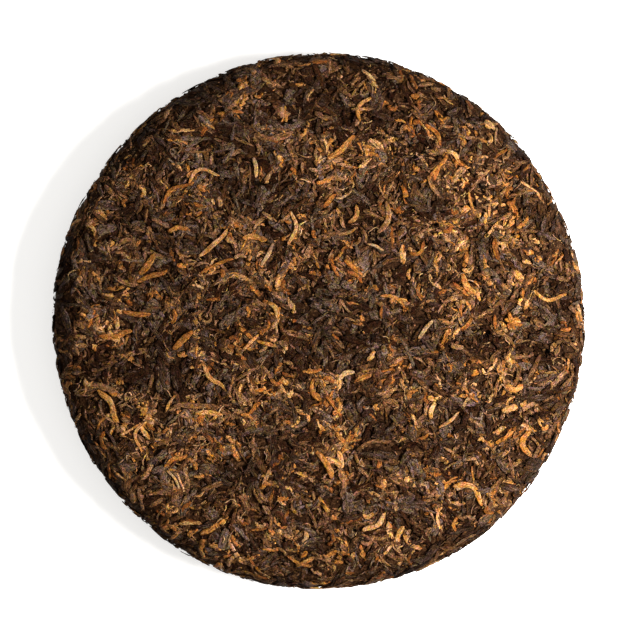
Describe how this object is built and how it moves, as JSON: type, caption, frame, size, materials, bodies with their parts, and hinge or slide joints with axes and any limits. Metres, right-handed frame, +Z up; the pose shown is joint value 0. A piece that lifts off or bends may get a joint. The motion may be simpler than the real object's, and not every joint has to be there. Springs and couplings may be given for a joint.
{
  "type": "pu erh tea cake",
  "caption": "Round pressed disc of dark fermented tea leaves with golden buds, a low domed face, a rounded rim and a dimpled flat underside.",
  "frame": {"origin": "middle of the flat underside, on the surface that the cake rests on", "axes": "+Z up through the domed face, X and Y across the disc, which has no front"},
  "size_m": [0.1996, 0.2006, 0.0217],
  "materials": {
    "pressed_leaf": "dry, wrinkled, pressed dark brown leaf, matt with a slight sheen",
    "golden_bud": "dry golden orange leaf buds, fine downy grain along their length",
    "pale_stalk": "dry tan stalks with a fibrous skin"
  },
  "bodies": {
    "root": {"tea_cake": "pressed_leaf"}
  },
  "joints": []
}
